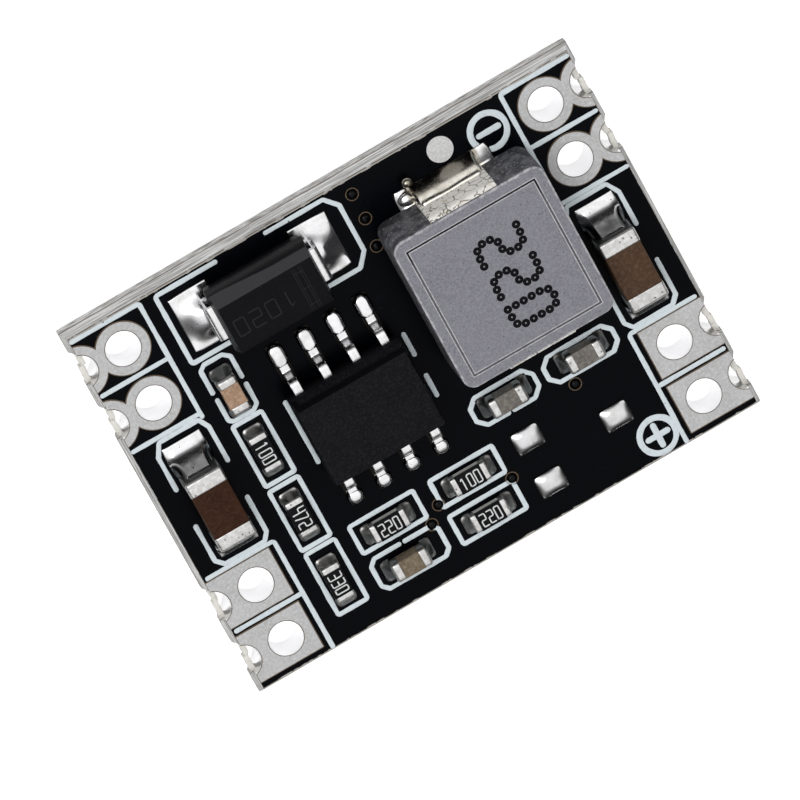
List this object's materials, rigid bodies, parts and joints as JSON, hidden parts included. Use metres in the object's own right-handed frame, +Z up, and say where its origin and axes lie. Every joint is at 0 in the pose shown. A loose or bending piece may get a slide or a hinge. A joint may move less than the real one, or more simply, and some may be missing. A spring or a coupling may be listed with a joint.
{
  "type": "step-down converter module",
  "caption": "Small black circuit board with a power inductor, a regulator chip, a diode and chip parts, and plated wire holes and half holes at both ends.",
  "frame": {"origin": "centre of the board's underside", "axes": "+Z up through the parts, +X from the input end to the output end, +Y towards the minus terminals"},
  "size_m": [0.0224, 0.0168, 0.0047],
  "materials": {
    "board": "gloss black solder mask over glass laminate",
    "tinned_copper": "matte tin",
    "solder": "bright solder",
    "tinned_lead": "tinned strip",
    "end_cap": "matte tin end",
    "moulded_package": "matte black moulding",
    "pressed_iron": "grey pressed powder",
    "brown_ceramic": "smooth",
    "tan_ceramic": "smooth",
    "olive_ceramic": "smooth",
    "resistor_coat": "black glaze"
  },
  "bodies": {
    "root": {"boost_capacitor_body": "tan_ceramic", "boost_capacitor_ends": "end_cap", "capacitor_solder": "solder", "compensation_capacitor_body": "olive_ceramic", "compensation_capacitor_ends": "end_cap", "component_lands": "tinned_copper", "diode_anode_lead": "tinned_lead", "diode_body": "moulded_package", "diode_cathode_lead": "tinned_lead", "diode_solder": "solder", "filter_capacitor_1_body": "olive_ceramic", "filter_capacitor_1_ends": "end_cap", "filter_capacitor_2_body": "olive_ceramic", "filter_capacitor_2_ends": "end_cap", "inductor_body": "pressed_iron", "inductor_clip_back": "tinned_lead", "inductor_clip_front": "tinned_lead", "inductor_solder": "solder", "input_capacitor_body": "brown_ceramic", "input_capacitor_ends": "end_cap", "input_minus_terminal_1": "tinned_copper", "input_minus_terminal_2": "tinned_copper", "input_plus_terminal_1": "tinned_copper", "input_plus_terminal_2": "tinned_copper", "output_capacitor_body": "brown_ceramic", "output_capacitor_ends": "end_cap", "output_minus_terminal_1": "tinned_copper", "output_minus_terminal_2": "tinned_copper", "output_plus_terminal_1": "tinned_copper", "output_plus_terminal_2": "tinned_copper", "printed_circuit_board": "board", "regulator_body": "moulded_package", "regulator_lead_1": "tinned_lead", "regulator_lead_2": "tinned_lead", "regulator_lead_3": "tinned_lead", "regulator_lead_4": "tinned_lead", "regulator_lead_5": "tinned_lead", "regulator_lead_6": "tinned_lead", "regulator_lead_7": "tinned_lead", "regulator_lead_8": "tinned_lead", "regulator_solder": "solder", "resistor_1_body": "resistor_coat", "resistor_1_ends": "end_cap", "resistor_2_body": "resistor_coat", "resistor_2_ends": "end_cap", "resistor_3_body": "resistor_coat", "resistor_3_ends": "end_cap", "resistor_4_body": "resistor_coat", "resistor_4_ends": "end_cap", "resistor_5_body": "resistor_coat", "resistor_5_ends": "end_cap", "resistor_6_body": "resistor_coat", "resistor_6_ends": "end_cap", "resistor_solder": "solder", "solder_bump_1": "solder", "solder_bump_2": "solder", "solder_bump_3": "solder", "test_pad": "tinned_copper"}
  },
  "joints": []
}
